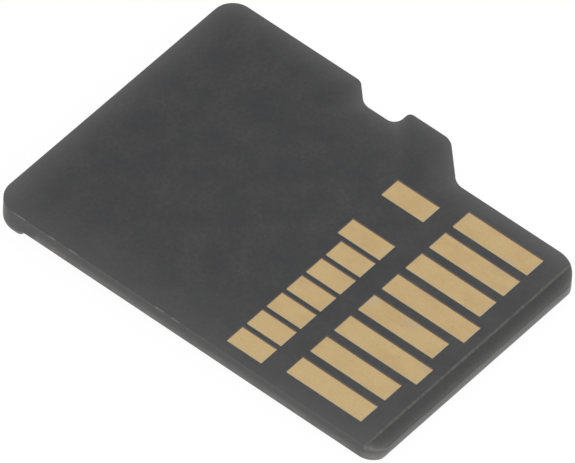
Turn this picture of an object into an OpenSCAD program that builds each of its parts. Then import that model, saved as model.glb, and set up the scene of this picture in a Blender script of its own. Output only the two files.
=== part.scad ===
// A memory card of the small 15 x 11 mm kind, contact side up.
// +Y runs from the contact end to the grip lip, +X from the straight side to the notched side.
// The origin is under the middle of the card, on the plane that the lip touches.

/* [Card outline] */
// Width across the straight side and the ear
card_w = 11; // [10.8:0.05:11.2]
// Length from the contact end to the grip end
card_l = 15; // [14.8:0.05:15.2]
// Thickness of the card away from the lip
card_t = 0.7; // [0.6:0.05:0.8]
// How far the grip lip stands out under the card
lip_t = 0.3; // [0.2:0.05:0.4]
// Width of the narrow contact end
narrow_w = 9.745; // [9.6:0.005:9.8]
// Round from the contact end to the straight side, in plan
front_straight_r = 0.7; // [0.6:0.05:0.9]
// Round from the contact end to the narrow side, in plan
front_narrow_r = 1.05; // [0.9:0.05:1.2]
// Round from the grip end to the wide side, in plan
back_wide_r = 0.7; // [0.6:0.05:0.8]
// Round from the grip end to the straight side, in plan
back_straight_r = 0.8; // [0.7:0.05:0.9]
// Round of the edge all round the label side
label_edge_r = 0.14; // [0.08:0.01:0.15]

/* [Side notch and ear] */
// Where the ear's slanted front edge meets the wide side, from the contact end
ear_front_y = 6.32; // [6.2:0.01:6.4]
// Where the ear ends and the notch starts, from the contact end
ear_back_y = 7.93; // [7.8:0.01:8]
// Depth of the notch, from the wide side
notch_d = 0.67; // [0.5:0.01:0.8]
// Length of the flat floor of the notch, between its sharp corners
notch_floor_l = 1.25; // [1:0.01:1.4]
// Round where the ear's slanted front leaves the narrow side
ear_foot_r = 0.55; // [0.2:0.05:0.8]
// Round of the ear's front corner
ear_front_r = 0.55; // [0.2:0.05:0.6]
// Round of the ear's back corner
ear_back_r = 0.16; // [0.16:0.01:0.2]
// Round in the notch beside the ear
notch_ear_r = 0.34; // [0.2:0.01:0.4]
// Round in the notch at the foot of its slant
notch_slant_r = 0.5; // [0.2:0.05:0.6]
// Round where the slant meets the wide side
notch_out_r = 0.32; // [0.2:0.01:0.6]

/* [Grip lip] */
// Width of the lip in the middle of the card
lip_w = 1.84; // [1.64:0.02:1.9]
// Radius of the lip's front line, in plan
lip_arc_r = 30; // [29.5:0.1:30.5]
// Length of the S-shaped slope from the card's underside down to the lip
lip_slope_l = 0.42; // [0.36:0.02:0.5]
// Round of the lip's lower edge along the sides and the back
lip_edge_r = 0.29; // [0.15:0.01:0.29]

/* [Contact end] */
// Length of the bevel that lets the card enter its socket
bevel_l = 0.52; // [0.42:0.01:0.52]
// Depth of that bevel at the front edge
bevel_d = 0.18; // [0.1:0.01:0.2]
// Round of the front edge on the label side
nose_r = 0.33; // [0.2:0.01:0.4]

/* [Substrate] */
// Thickness of the glass-fibre laminate
laminate_t = 0.13; // [0.1:0.01:0.15]
// Thickness of the black solder mask
mask_t = 0.03; // [0.02:0.005:0.04]
// How far the contacts lie below the mask
contact_recess = 0.01; // [0.005:0.005:0.015]
// Round of each contact's corners
contact_corner_r = 0.03; // [0.02:0.01:0.1]

/* [First row of contacts] */
// Pitch of the first row
row1_pitch = 1.1; // [1.1:0.05:1.1]
// Width of a contact in the first row
row1_w = 0.793; // [0.75:0.001:0.82]
// Length of a signal contact
row1_l = 2.9; // [2.8:0.05:3]
// Extra length of the supply and ground contacts towards the front
supply_extra = 0.3; // [0.2:0.05:0.4]
// Gap from the narrow side to the first contact
row1_side_gap = 0.5925; // [0.55:0.0025:0.7]
// Distance from the front edge to the inner end of the first row
row1_inner_y = 4.065; // [4:0.005:4.1]

/* [Second row of contacts] */
// Pitch of the seven contacts that stand together
row2_pitch = 0.91; // [0.88:0.01:0.92]
// Width of those contacts
row2_w = 0.745; // [0.7:0.005:0.76]
// Length of the six short contacts
row2_l = 1.345; // [1.3:0.005:1.4]
// Length of the two long contacts
row2_long_l = 1.645; // [1.6:0.005:1.7]
// Width of the contact that stands alone
lone_w = 0.793; // [0.75:0.001:0.82]
// Distance from the front edge to the front end of the second row
row2_front_y = 4.82; // [4.75:0.01:4.9]
// Right-hand side of the lone contact, from the card's centre line
lone_x = 3.2015; // [3.1:0.0005:3.25]
// Right-hand side of the first of the seven, from the card's centre line
row2_x = 1.1205; // [1.05:0.0005:1.15]

/* [Memory stack] */
// Number of memory dies
die_n = 4; // [4:1:4]
// Gap between the straight side and the memory dies
die_side_gap = 0.75; // [0.6:0.05:0.9]
// Width of a memory die
die_w = 8.4; // [7:0.1:9]
// Length of a memory die
die_l = 7.6; // [7:0.1:8]
// Thickness of a memory die
die_t = 0.06; // [0.04:0.01:0.06]
// Thickness of the adhesive film under each die
film_t = 0.02; // [0.01:0.005:0.02]
// How far each die steps back from the one it is stuck to
die_step = 0.3; // [0.25:0.05:0.4]
// Front edge of the first memory die, from the front edge of the card
die_front_y = 5.9; // [5.7:0.1:6.2]

/* [Controller and capacitors] */
// Width of the controller die
controller_w = 3; // [2.5:0.1:3.5]
// Length of the controller die
controller_l = 2.2; // [2:0.1:2.4]
// Thickness of the controller die
controller_t = 0.12; // [0.1:0.01:0.15]
// Left side of the controller die, from the card's centre line
controller_x = -2.2; // [-2.4:0.1:-2]
// Front edge of the controller die, from the front edge of the card
controller_front_y = 2.2; // [2:0.1:2.4]
// Length of a decoupling capacitor
capacitor_l = 0.6; // [0.5:0.05:0.7]
// Width and height of a decoupling capacitor
capacitor_w = 0.3; // [0.25:0.01:0.3]
// From the controller's side to the middle of a capacitor
capacitor_gap = 1.7; // [1.6:0.1:1.8]
// From the controller's front edge to the middle of the first capacitor on each side
capacitor_front_y = 0.5; // [0.4:0.1:0.6]
// Distance between the two capacitors on a side
capacitor_pitch = 1; // [0.8:0.1:1.2]
// Length of a capacitor's metal cap
cap_end_l = 0.15; // [0.1:0.05:0.2]
// How far that cap stands out from the ceramic
cap_end_t = 0.015; // [0.01:0.005:0.02]

/* [Bond wires] */
// Side of a wire, drawn square
wire_t = 0.025; // [0.02:0.005:0.03]
// Height of a wire's loop above the die it leaves
wire_loop = 0.07; // [0.05:0.01:0.08]
// Number of wires on each step of the memory stack
memory_wire_n = 12; // [6:1:16]
// Number of wires on each side of the controller
controller_wire_n = 8; // [4:1:9]
// From the side of a memory die to its first wire
memory_wire_margin = 0.6; // [0.3:0.1:0.8]
// From the front edge of the controller to its first wire
controller_wire_margin = 0.2; // [0.15:0.05:0.3]
// How far in from a die's edge a wire is bonded
bond_inset = 0.1; // [0.08:0.01:0.12]
// Thickness of a bond finger on the laminate
finger_t = 0.015; // [0.01:0.005:0.02]
// Width of a bond finger
finger_w = 0.1; // [0.08:0.01:0.12]
// Length of a bond finger
finger_l = 0.25; // [0.2:0.01:0.3]
// Gap between a die and its bond fingers
finger_gap = 0.3; // [0.25:0.05:0.35]

/* [Hidden] */

// How far cutters run on past the solid, and past a corner's point
eps = 0.2;
corner_over = 0.05;
// How far an edge round stands out of the faces that it joins, as a share of its radius
edge_hair = 0.02;
// Facets in a full turn
lip_fn = 256;
round_fn = 96;
small_fn = 32;
// Level part of a wire's loop, as a share of its run
loop_share = 1 / 3;

mould_black = [0.29, 0.29, 0.295];
mask_black = [0.28, 0.28, 0.29];
laminate_dark = [0.30, 0.30, 0.27];
contact_gold = [0.75, 0.65, 0.48];
silicon_grey = [0.42, 0.44, 0.50];
film_amber = [0.72, 0.62, 0.42];
ceramic_tan = [0.62, 0.52, 0.40];
wire_gold = [0.85, 0.68, 0.30];

// Heights, from the plane under the lip upwards
card_top = lip_t + card_t;
laminate_top = card_top - mask_t;
laminate_bottom = laminate_top - laminate_t;
contact_t = mask_t - contact_recess;

// Edges of the card in plan
left_x = -card_w / 2;
right_x = card_w / 2;
front_y = -card_l / 2;
back_y = card_l / 2;
narrow_x = left_x + narrow_w;
ear_depth = right_x - narrow_x;
ear_y = front_y + ear_front_y;
notch_y = front_y + ear_back_y;
notch_x = right_x - notch_d;

// Plan corners, anticlockwise from the front of the straight side: x, y, round, outer (1) or inner (-1)
corners = [
    [left_x, front_y, front_straight_r, 1],
    [narrow_x, front_y, front_narrow_r, 1],
    [narrow_x, ear_y - ear_depth, ear_foot_r, -1],
    [right_x, ear_y, ear_front_r, 1],
    [right_x, notch_y, ear_back_r, 1],
    [notch_x, notch_y, notch_ear_r, -1],
    [notch_x, notch_y + notch_floor_l, notch_slant_r, -1],
    [right_x, notch_y + notch_floor_l + notch_d, notch_out_r, 1],
    [right_x, back_y, back_wide_r, 1],
    [left_x, back_y, back_straight_r, 1]];
corner_n = len(corners);
all_corners = [0:corner_n - 1];
grip_corners = [8, 9];
grip_sides = [7, 8, 9];

function point(i) = [corners[i % corner_n].x, corners[i % corner_n].y];
function unit(v) = v / norm(v);
function to_next(i) = unit(point(i + 1) - point(i));
function to_last(i) = unit(point(i + corner_n - 1) - point(i));
function half_angle(i) = acos(to_next(i) * to_last(i)) / 2;
function corner_r(i) = corners[i % corner_n][2];
function side(i) = corners[i % corner_n][3];
function tangent_l(i) = corner_r(i) / tan(half_angle(i));
function centre(i) =
    point(i) + unit(to_next(i) + to_last(i)) * corner_r(i) / sin(half_angle(i));
function leave(i) = point(i) + to_next(i) * tangent_l(i);
function arrive(i) = point(i) + to_last(i) * tangent_l(i);
function heading(v) = atan2(v.y, v.x);

// What lies between a sharp outer corner and its round, run on a little past the corner
module corner_waste(i) {
    past = point(i) - unit(to_next(i) + to_last(i)) * corner_over;
    difference() {
        polygon([past, leave(i), centre(i), arrive(i)]);
        translate(centre(i)) circle(r = corner_r(i), $fn = round_fn);
    }
}

// Inner corners are filled up to the centre of their round, and the round is then cut out
module card_plan() {
    difference() {
        polygon([for (i = [0:corner_n - 1])
            each side(i) > 0 ? [point(i)] : [arrive(i), centre(i), leave(i)]]);
        for (i = [0:corner_n - 1])
            if (side(i) > 0) corner_waste(i);
            else translate(centre(i)) circle(r = corner_r(i), $fn = round_fn);
    }
}

// Section of the waste that a round of radius r leaves along a lower edge: x outwards, y up.
// The round stands out by a hair, so that it crosses both faces instead of grazing them.
module edge_section(r) {
    hair = r * edge_hair;
    difference() {
        translate([-r, -eps]) square([r + eps, r + eps]);
        translate([hair - r, r - hair]) circle(r = r, $fn = small_fn);
    }
}

// Waste along the straight side from corner i to the next
module edge_bar(i, r) {
    start = leave(i);
    length = norm(arrive(i + 1) - start);
    translate([start.x, start.y, 0])
        rotate([0, 0, heading(to_next(i))])
            rotate([90, 0, 90])
                mirror([1, 0, 0])
                    linear_extrude(length) edge_section(r);
}

// Waste round corner i
module edge_turn(i, r) {
    turn = 180 - 2 * half_angle(i);
    from = heading((side(i) > 0 ? arrive(i) : leave(i)) - centre(i));
    translate([centre(i).x, centre(i).y, 0])
        rotate([0, 0, from])
            rotate_extrude(angle = turn, $fn = round_fn)
                translate([corner_r(i), 0])
                    mirror([side(i) > 0 ? 0 : 1, 0]) edge_section(r);
}

// Round r along the lower edge, over the given straight sides and corners
module lower_edge_waste(r, sides, turns) {
    for (i = sides) edge_bar(i, r);
    for (i = turns) edge_turn(i, r);
}

// Everything above the bevel at the contact end
module bevel_waste() {
    translate([left_x - eps, 0, 0])
        rotate([90, 0, 90])
            linear_extrude(card_w + 2 * eps)
                polygon([
                    [front_y + bevel_l, card_top],
                    [front_y, card_top - bevel_d],
                    [front_y - eps, card_top - bevel_d - eps * bevel_d / bevel_l],
                    [front_y - eps, card_top + eps],
                    [front_y + bevel_l, card_top + eps]]);
}

// Everything outside the round of the nose, on the label side
module nose_waste() {
    translate([left_x - eps, front_y, lip_t])
        rotate([90, 0, 90])
            linear_extrude(card_w + 2 * eps)
                difference() {
                    translate([-eps, -eps]) square([nose_r + eps, nose_r + eps]);
                    translate([nose_r, nose_r]) circle(r = nose_r, $fn = round_fn);
                }
}

// Two equal arcs make the S of the lip's slope
slope_angle = 2 * atan(lip_t / lip_slope_l);
slope_r = lip_slope_l / (2 * sin(slope_angle));
lip_inner_r = lip_arc_r - lip_slope_l;
lip_mid_r = lip_arc_r - lip_slope_l / 2;
lip_root_r = lip_arc_r - 2 * lip_w;

// Half section of the lip about the centre of its front line
module lip_section() {
    translate([lip_root_r, 0])
        square([lip_inner_r - lip_root_r, laminate_bottom]);
    intersection() {
        translate([lip_inner_r, 0]) square([lip_mid_r - lip_inner_r, slope_r]);
        translate([lip_inner_r, slope_r]) circle(r = slope_r, $fn = round_fn);
    }
    translate([lip_inner_r, slope_r])
        square([lip_mid_r - lip_inner_r, laminate_bottom - slope_r]);
    difference() {
        translate([lip_mid_r, lip_t / 2])
            square([lip_arc_r - lip_mid_r, laminate_bottom - lip_t / 2]);
        translate([lip_arc_r, lip_t - slope_r]) circle(r = slope_r, $fn = round_fn);
    }
}

module lip() {
    difference() {
        intersection() {
            linear_extrude(laminate_bottom) card_plan();
            translate([0, back_y - lip_w + lip_arc_r, 0])
                rotate_extrude($fn = lip_fn) lip_section();
        }
        lower_edge_waste(lip_edge_r, grip_sides, grip_corners);
    }
}

module slab() {
    difference() {
        translate([0, 0, lip_t])
            linear_extrude(laminate_bottom - lip_t) card_plan();
        translate([0, 0, lip_t]) lower_edge_waste(label_edge_r, all_corners, all_corners);
        nose_waste();
        bevel_waste();
    }
}

module moulded_body() {
    color(mould_black)
        difference() {
            union() {
                slab();
                lip();
            }
            buried_parts();
        }
}

module laminate() {
    color(laminate_dark)
        difference() {
            translate([0, 0, laminate_bottom]) linear_extrude(laminate_t) card_plan();
            bevel_waste();
        }
}

module contact_plan(w, l) {
    r = contact_corner_r;
    difference() {
        square([w, l]);
        for (x = [0, 1], y = [0, 1])
            translate([x * w, y * l]) mirror([x, 0]) mirror([0, y])
                difference() {
                    square([r, r]);
                    translate([r, r]) circle(r = r, $fn = small_fn);
                }
    }
}

// Contacts 1 to 8, then 9 to 16: left side x, front end y, width, length.
// Contacts 4 and 6 are the supply and the ground.
row1 = [for (k = [1:8])
    let (extra = (k == 4 || k == 6) ? supply_extra : 0)
    [narrow_x - row1_side_gap - (k - 1) * row1_pitch - row1_w,
        front_y + row1_inner_y - row1_l - extra, row1_w, row1_l + extra]];
row2 = [
    [lone_x - lone_w, front_y + row2_front_y, lone_w, row2_long_l],
    for (k = [0:6])
        [row2_x - k * row2_pitch - row2_w, front_y + row2_front_y, row2_w,
            k == 0 ? row2_long_l : row2_l]];
contacts = concat(row1, row2);
contact_n = len(contacts);

module contact_outline(k) {
    c = contacts[k - 1];
    translate([c[0], c[1]]) contact_plan(c[2], c[3]);
}

module contact(k) {
    color(contact_gold)
        translate([0, 0, laminate_top]) linear_extrude(contact_t) contact_outline(k);
}

module solder_mask() {
    color(mask_black)
        difference() {
            translate([0, 0, laminate_top])
                linear_extrude(mask_t)
                    difference() {
                        card_plan();
                        for (k = [1:contact_n]) contact_outline(k);
                    }
            bevel_waste();
        }
}

// The memory stack hangs from the laminate, each die a step further back
die_x = left_x + die_side_gap;
layer_t = film_t + die_t;
function die_y(k) = front_y + die_front_y + (k - 1) * die_step;
function die_z(k) = laminate_bottom - k * layer_t;

module memory_die(k) {
    color(silicon_grey)
        translate([die_x, die_y(k), die_z(k)]) cube([die_w, die_l, die_t]);
}

module die_film(k) {
    color(film_amber)
        translate([die_x, die_y(k), die_z(k) + die_t]) cube([die_w, die_l, film_t]);
}

controller_y = front_y + controller_front_y;
controller_z = laminate_bottom - film_t - controller_t;

module controller_die() {
    color(silicon_grey)
        translate([controller_x, controller_y, controller_z])
            cube([controller_w, controller_l, controller_t]);
}

module controller_film() {
    color(film_amber)
        translate([controller_x, controller_y, controller_z + controller_t])
            cube([controller_w, controller_l, film_t]);
}

// Two capacitors on each side of the controller: middle of each
capacitor_at = [
    for (x = [controller_x - capacitor_gap, controller_x + controller_w + capacitor_gap])
        for (n = [0, 1])
            [x, controller_y + capacitor_front_y + n * capacitor_pitch]];
capacitor_n = len(capacitor_at);

// A ceramic block with a metal cap on each end
module capacitor(k) {
    color(ceramic_tan)
        translate([capacitor_at[k - 1].x, capacitor_at[k - 1].y, laminate_bottom - capacitor_w]) {
            translate([-capacitor_l / 2 + cap_end_l, -capacitor_w / 2 + cap_end_t, cap_end_t])
                cube([capacitor_l - 2 * cap_end_l,
                    capacitor_w - 2 * cap_end_t, capacitor_w - 2 * cap_end_t]);
            for (x = [-capacitor_l / 2, capacitor_l / 2 - cap_end_l])
                translate([x, -capacitor_w / 2, 0])
                    cube([cap_end_l, capacitor_w, capacitor_w]);
        }
}

// A wire from height z0 on a die, over its loop, to height z1 further along x
module wire(run, z0, z1) {
    low = z0 - wire_loop;
    crest = run * loop_share;
    translate([0, wire_t / 2, 0])
        rotate([90, 0, 0])
            linear_extrude(wire_t)
                polygon([
                    [0, z0],
                    [0, low + wire_t],
                    [wire_t, low],
                    [crest, low],
                    [run, z1 - wire_t],
                    [run, z1],
                    [run - wire_t, z1],
                    [crest, low + wire_t],
                    [wire_t, low + wire_t],
                    [wire_t, z0]]);
}

finger_run = bond_inset + finger_gap + finger_l / 2;
memory_wire_x = die_x + memory_wire_margin;
memory_wire_pitch = (die_w - 2 * memory_wire_margin) / (memory_wire_n - 1);

// From each die's front edge to the die above it, and from the first to its fingers
module memory_wires() {
    color(wire_gold)
        for (k = [1:die_n], n = [0:memory_wire_n - 1]) {
            lands_on = k == 1 ? laminate_bottom - finger_t : die_z(k - 1);
            run = k == 1 ? finger_run : bond_inset + die_step / 2;
            translate([memory_wire_x + n * memory_wire_pitch, die_y(k) + bond_inset, 0])
                rotate([0, 0, -90]) wire(run, die_z(k), lands_on);
        }
}

module memory_fingers() {
    color(wire_gold)
        for (n = [0:memory_wire_n - 1])
            translate([memory_wire_x + n * memory_wire_pitch - finger_w / 2,
                die_y(1) - finger_gap - finger_l, laminate_bottom - finger_t])
                cube([finger_w, finger_l, finger_t]);
}

controller_wire_pitch =
    (controller_l - 2 * controller_wire_margin) / (controller_wire_n - 1);

// Both sides of the controller
module controller_sides() {
    for (s = [0, 1], n = [0:controller_wire_n - 1])
        translate([controller_x + controller_w / 2,
            controller_y + controller_wire_margin + n * controller_wire_pitch, 0])
            mirror([s, 0, 0]) translate([controller_w / 2, 0, 0]) children();
}

module controller_wires() {
    color(wire_gold)
        controller_sides()
            translate([-bond_inset, 0, 0])
                wire(finger_run, controller_z, laminate_bottom - finger_t);
}

module controller_fingers() {
    color(wire_gold)
        controller_sides()
            translate([finger_gap, -finger_w / 2, laminate_bottom - finger_t])
                cube([finger_l, finger_w, finger_t]);
}

module buried_parts() {
    for (k = [1:die_n]) {
        memory_die(k);
        die_film(k);
    }
    controller_die();
    controller_film();
    for (k = [1:capacitor_n]) capacitor(k);
    memory_wires();
    memory_fingers();
    controller_wires();
    controller_fingers();
}

moulded_body();
laminate();
solder_mask();
for (k = [1:contact_n])
    contact(k);
for (k = [1:die_n]) {
    memory_die(k);
    die_film(k);
}
controller_die();
controller_film();
for (k = [1:capacitor_n])
    capacitor(k);
memory_wires();
controller_wires();
memory_fingers();
controller_fingers();
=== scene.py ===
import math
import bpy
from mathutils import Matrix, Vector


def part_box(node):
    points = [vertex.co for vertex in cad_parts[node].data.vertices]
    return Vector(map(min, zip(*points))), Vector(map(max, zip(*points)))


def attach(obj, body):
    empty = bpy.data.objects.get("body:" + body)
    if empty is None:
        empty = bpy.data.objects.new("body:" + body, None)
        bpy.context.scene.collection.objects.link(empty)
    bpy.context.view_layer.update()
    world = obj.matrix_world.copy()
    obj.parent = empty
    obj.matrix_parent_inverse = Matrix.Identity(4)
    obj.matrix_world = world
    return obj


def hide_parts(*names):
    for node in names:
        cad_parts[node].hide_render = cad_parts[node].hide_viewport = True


bl_info = {
    "name": "Small Memory Card",
    "version": (1, 0, 0),
    "blender": (4, 5, 0),
    "location": "3D View > Sidebar > Memory Card",
    "description": "Finishes the packed memory card and sets its floor, light and camera",
    "category": "Add Mesh",
}

import bmesh
import bpy
from mathutils import Matrix, Quaternion, Vector

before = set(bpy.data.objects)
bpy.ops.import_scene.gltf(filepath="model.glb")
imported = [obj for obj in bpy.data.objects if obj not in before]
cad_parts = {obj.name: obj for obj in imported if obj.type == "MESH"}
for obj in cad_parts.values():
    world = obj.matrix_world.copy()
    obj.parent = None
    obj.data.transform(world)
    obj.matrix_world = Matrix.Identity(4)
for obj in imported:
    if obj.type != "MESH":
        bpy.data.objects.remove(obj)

# Pieces are modelled in millimetres, and finish_piece brings them to metres.
MM = 0.001
UP = Vector((0, 0, 1))
ALONG = Vector((0, 1, 0))
ACROSS = Vector((1, 0, 0))
QUARTER = math.radians(90)
BODY = "root"
CONTACTS = [f"contact_{k}" for k in range(1, 17)]
TINY = 0.001  # tolerance of the tests on places
CUT_GAP = 0.00001  # how near to a cut a vertex counts as lying on it
SUNK = 0.2  # how far joined or cutting pieces reach past each other's surface
SHARP = 0.5  # angle between two faces from which their edge is rounded, in radians
SMOOTH_ANGLE = math.radians(35)  # edges sharper than this stay sharp in the shading
MASK_STEPS = 2  # facets across the mask's rounds
CONTACT_STEPS = 3  # facets across a contact's upper round
LIP_TURNS = 96  # steps in which the lip's section is turned
LIP_SPARE = 1.2  # how much further it is turned than the card is wide
CAP_END_L = 0.15  # length of a capacitor's tinned ends
CORNER_EASE = 1.76  # distance of a smooth minimum that follows a round of radius 1
BACK_SHARE = 0.6  # how much a rim that faces the grip end counts, beside one that faces a side
SENSOR_W = 36  # width of the camera's sensor, which goes with the lens
CAMERA_REACH = 10  # metres
WHITE = (1, 1, 1, 1)


def cad_box(*nodes):
    """Lowest and highest corner of several CAD nodes, in millimetres."""
    boxes = [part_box(node) for node in nodes]
    low = Vector([min(box[0][k] for box in boxes) for k in range(3)]) / MM
    high = Vector([max(box[1][k] for box in boxes) for k in range(3)]) / MM
    return low, high


def length_of(name, value, description):
    """A size property, given in millimetres and kept in metres."""
    return bpy.props.FloatProperty(
        name=name, description=description, default=value * MM, min=0, precision=6, unit="LENGTH")


def angle_of(name, degrees, description):
    """An angle property, given in degrees."""
    return bpy.props.FloatProperty(
        name=name, description=description, default=math.radians(degrees), subtype="ANGLE")


def colour_of(name, value, description):
    """A colour property, in linear light."""
    return bpy.props.FloatVectorProperty(
        name=name, description=description, default=value, size=3, min=0, max=1, subtype="COLOR")


class CardOutline(bpy.types.PropertyGroup):
    """The card's outline, seen from above."""

    narrow_w: length_of("Narrow width", 9.745, "Width of the narrow contact end")
    front_straight_r: length_of(
        "Front straight round", 0.7, "Round from the contact end to the straight side")
    front_narrow_r: length_of(
        "Front narrow round", 1.05, "Round from the contact end to the narrow side")
    back_wide_r: length_of("Back wide round", 0.7, "Round from the grip end to the wide side")
    back_straight_r: length_of("Back straight round", 0.8, "Round from the grip end to the straight side")
    ear_front_y: length_of("Ear front", 6.32, "From the contact end to the ear's front corner")
    ear_back_y: length_of("Ear back", 7.93, "From the contact end to the notch")
    notch_d: length_of("Notch depth", 0.67, "Depth of the side notch")
    notch_floor_l: length_of("Notch floor", 1.25, "Length of the notch's flat floor")
    ear_foot_r: length_of("Ear foot round", 0.55, "Round at the foot of the ear's slant")
    ear_front_r: length_of("Ear front round", 0.55, "Round of the ear's front corner")
    ear_back_r: length_of("Ear back round", 0.16, "Round of the ear's back corner")
    notch_ear_r: length_of("Notch round", 0.34, "Round in the notch beside the ear")
    notch_slant_r: length_of("Notch slant round", 0.5, "Round at the foot of the notch's slant")
    notch_out_r: length_of("Notch end round", 0.32, "Round where the slant meets the wide side")
    corner_steps: bpy.props.IntProperty(
        name="Corner steps", description="Facets in each round of the outline", default=14, min=4)


class CardEdges(bpy.types.PropertyGroup):
    """Rounds, bevels and the grip lip."""

    card_t: length_of("Card thickness", 0.7, "Thickness of the card away from the lip")
    label_edge_r: length_of("Label edge round", 0.14, "Round all round the label side")
    nose_r: length_of("Nose round", 0.33, "Round of the contact end's lower edge")
    bevel_l: length_of("Bevel length", 0.52, "Length of the bevel at the contact end")
    bevel_d: length_of("Bevel depth", 0.18, "Depth of that bevel at the front edge")
    lip_w: length_of("Lip width", 1.84, "Width of the lip in the middle of the card")
    lip_arc_r: length_of("Lip arc", 30, "Radius of the lip's front line")
    lip_slope_l: length_of("Lip slope", 0.42, "Length of the slope down to the lip")
    lip_edge_r: length_of("Lip edge round", 0.29, "Round of the lip's lower edge")
    cut_edge_r: length_of("Cut edge round", 0.008, "Round of the sawn edge on the contact side")
    cut_line_w: length_of("Cut line", 0.075, "Width of the pale line where the bevel cuts the mask")
    window_edge_r: length_of("Window edge round", 0.026, "Round of the mask round each contact")
    contact_edge_r: length_of("Contact edge round", 0.012, "Round of each contact's upper edge")
    contact_corner_r: length_of("Contact corner round", 0.03, "Round of each contact's corners")
    contact_rim_w: length_of("Contact rim", 0.06, "Width of the paler and browner rims of a contact")
    round_steps: bpy.props.IntProperty(
        name="Round steps", description="Facets across each round edge", default=7, min=2)


class CardFinish(bpy.types.PropertyGroup):
    """Colours of the card's materials."""

    mould_colour: colour_of("Mould", (0.046, 0.046, 0.0455), "Black epoxy of the body")
    # Painted light: this paler epoxy stands in for the light on the lower walls and on faces towards the
    # grip end.
    mould_painted_light_colour: colour_of("Mould painted light", (0.118, 0.1145, 0.111), "Epoxy painted paler where light falls on it")
    # Used for real wear, the mask's scuffs, and for painted light: the pale glow near the rims and on faces
    # towards the grip end.
    wear_and_painted_light_colour: colour_of("Wear and painted light", (0.115, 0.1145, 0.113), "Mask and laminate painted paler for wear and for light")
    mask_colour: colour_of("Solder mask", (0.0080, 0.0086, 0.0107), "Black mask on the contact side")
    mask_patch_colour: colour_of("Mask patches", (0.0170, 0.0172, 0.0178), "Paler patches of the mask")
    cut_colour: colour_of("Cut mask", (0.060, 0.0605, 0.056), "Mask where the bevel cuts through it")
    chip_colour: colour_of("Chips", (0.26, 0.26, 0.25), "Chips along the sawn edge")
    core_colour: colour_of("Laminate", (0.0237, 0.0237, 0.0233), "Laminate on the bevel")
    sawn_colour: colour_of("Sawn laminate", (0.0555, 0.0550, 0.0545), "Laminate along the sawn sides")
    fibre_colour: colour_of("Fibres", (0.1, 0.1, 0.095), "Ends of the glass fibres")
    gold_colour: colour_of("Gold", (0.565, 0.416, 0.215), "Matte gold of the contacts")
    gold_patch_colour: colour_of("Gold patches", (0.539, 0.392, 0.199), "Duller patches of the gold")
    # Painted highlight on the pale rims of the contacts; also the pale gold of scuffs on the bond wires.
    pale_gold_and_highlight_colour: colour_of("Pale gold", (0.480, 0.415, 0.295), "Rim of a contact, where it is pale")
    smear_colour: colour_of("Smears", (0.47, 0.40, 0.33), "Dull smears on the contacts")
    # Painted shade on the brown rims beside and on the contacts; also the colour of real nicks in the gold.
    painted_shade_and_nick_colour: colour_of("Painted shade and nicks", (0.16, 0.095, 0.055), "Brown edge beside a contact")
    silicon_colour: colour_of("Silicon", (0.12, 0.125, 0.15), "Dies of the memory stack and the controller")
    circuit_colour: colour_of("Circuit", (0.22, 0.21, 0.24), "Paler blocks of a die's circuit")
    film_colour: colour_of("Film", (0.42, 0.27, 0.09), "Adhesive film under the dies")
    ceramic_colour: colour_of("Ceramic", (0.32, 0.21, 0.12), "Bodies of the capacitors")
    cap_colour: colour_of("Caps", (0.6, 0.6, 0.58), "Tinned ends of the capacitors")
    wire_colour: colour_of("Wire", (0.75, 0.5, 0.17), "Bond wires and their fingers")


class CardStage(bpy.types.PropertyGroup):
    """Floor, light and camera."""

    floor_w: length_of("Floor width", 600, "Side of the square floor")
    shadow_share: bpy.props.FloatProperty(
        name="Shadow", description="How much of the card's shadow the camera sees on the floor",
        default=0.04, min=0, max=1, subtype="FACTOR")
    lamp_away: length_of("Lamp distance", 500, "From the card to the soft lamp at its contact end")
    lamp_up: length_of("Lamp height", 90, "Height of that lamp over the floor")
    lamp_w: length_of("Lamp width", 120, "Side of the square lamp")
    lamp_power: bpy.props.FloatProperty(
        name="Lamp power", description="Power of the lamp, in watts", default=2.4, min=0)
    azimuth: angle_of("Azimuth", -52.159207, "Bearing of the camera, 0 looks along +Y")
    elevation: angle_of("Elevation", 48.678553, "Height of the camera above the horizon")
    roll: angle_of("Roll", 3.141895, "Turn of the camera about its own axis")
    distance: length_of("Distance", 461.294, "From the camera to the point that it looks at")
    aim: bpy.props.FloatVectorProperty(
        name="Aim", description="The point that the camera looks at",
        default=(-0.5875 * MM, 0.1007 * MM, 0.9920 * MM), subtype="TRANSLATION")
    lens: bpy.props.FloatProperty(
        name="Lens", description="Focal length, in millimetres", default=967.86, min=1)


def deselect():
    """Leaves nothing selected, in object mode."""
    if bpy.context.object and bpy.context.object.mode != "OBJECT":
        bpy.ops.object.mode_set(mode="OBJECT")
    bpy.ops.object.select_all(action="DESELECT")


def select_whole():
    """Selects all of the open piece."""
    bpy.ops.mesh.select_all(action="SELECT")


def choose(piece):
    """Makes one piece the only selected one, and the active one."""
    deselect()
    piece.select_set(True)
    bpy.context.view_layer.objects.active = piece


def edit(piece):
    """Opens one piece in edit mode."""
    choose(piece)
    bpy.ops.object.mode_set(mode="EDIT")


def leave_edit():
    """Goes back to object mode."""
    bpy.ops.object.mode_set(mode="OBJECT")


def pick(kind, test):
    """Selects the vertices or edges that pass a test, and returns how many there are."""
    bpy.ops.mesh.select_mode(type=kind)
    bpy.ops.mesh.select_all(action="DESELECT")
    data = bpy.context.object.data
    mesh = bmesh.from_edit_mesh(data)
    mesh.normal_update()
    found = [e for e in (mesh.verts if kind == "VERT" else mesh.edges) if test(e)]
    for element in found:
        element.select_set(True)
    mesh.select_flush_mode()
    bmesh.update_edit_mesh(data)
    return len(found)


def middle(edge):
    """The point halfway along an edge."""
    return (edge.verts[0].co + edge.verts[1].co) / 2


def is_level(edge, height):
    """True for an edge that lies at a height."""
    return all(abs(v.co.z - height) < TINY for v in edge.verts)


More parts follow.
